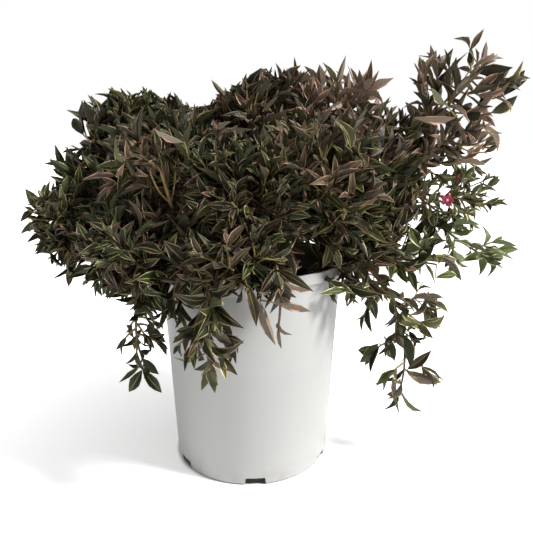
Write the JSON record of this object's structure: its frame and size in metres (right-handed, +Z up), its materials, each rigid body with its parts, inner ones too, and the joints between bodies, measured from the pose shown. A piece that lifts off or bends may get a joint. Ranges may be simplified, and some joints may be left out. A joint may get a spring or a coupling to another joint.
{
  "type": "potted weigela shrub",
  "caption": "Low, spreading dwarf weigela with dark leaves edged in pink and cream, arching out of a plain white tapered nursery pot.",
  "frame": {"origin": "middle of the pot's flat underside, level with what the pot stands on", "axes": "+Z up, +X to the plant's right, along its long arm, and -Y to its front"},
  "size_m": [0.5778, 0.3731, 0.5056],
  "materials": {
    "pot_plastic": "smooth moulded white plastic with a faint satin sheen",
    "potting_mix": "dark, damp bark and peat mix with a crumbly top",
    "bark": "tan to grey-brown woody stems with fine lengthwise ridges",
    "foliage": "purplish bronze to dark green leaves with pink and cream edges, and a satin upper side"
  },
  "bodies": {
    "root": {"pot": "pot_plastic", "soil": "potting_mix", "foot": "bark", "bough_left_skirt": "bark", "bough_right_skirt": "bark", "bough_back_left_skirt": "bark", "bough_back_right_skirt": "bark", "bough_left_tip": "bark", "bough_top_middle": "bark", "bough_front_heart": "bark", "bough_arm_base": "bark", "bough_arm_middle": "bark", "bough_back_middle": "bark", "bough_left_crown": "bark", "bough_left_heart": "bark", "bough_front_skirt": "bark", "bough_right_heart": "bark", "bough_top_right": "bark", "bough_back_left_top": "bark", "bough_back_right_top": "bark", "bough_arm_top": "bark", "bough_arm_low": "bark", "bough_right_wing": "bark", "bough_right_spray": "bark", "bough_right_fall": "bark", "bough_right_trailer": "bark", "bough_left_trailer": "bark", "bough_front_trailer": "bark", "bough_middle_trailer": "bark", "foliage_left_skirt": "foliage", "foliage_right_skirt": "foliage", "foliage_back_left_skirt": "foliage", "foliage_back_right_skirt": "foliage", "foliage_left_tip": "foliage", "foliage_top_middle": "foliage", "foliage_front_heart": "foliage", "foliage_arm_base": "foliage", "foliage_arm_middle": "foliage", "foliage_back_middle": "foliage", "foliage_left_crown": "foliage", "foliage_left_heart": "foliage", "foliage_front_skirt": "foliage", "foliage_right_heart": "foliage", "foliage_top_right": "foliage", "foliage_back_left_top": "foliage", "foliage_back_right_top": "foliage", "foliage_arm_top": "foliage", "foliage_arm_low": "foliage", "foliage_right_wing": "foliage", "foliage_right_spray": "foliage", "foliage_right_fall": "foliage", "foliage_right_trailer": "foliage", "foliage_left_trailer": "foliage", "foliage_front_trailer": "foliage", "foliage_middle_trailer": "foliage"}
  },
  "joints": []
}
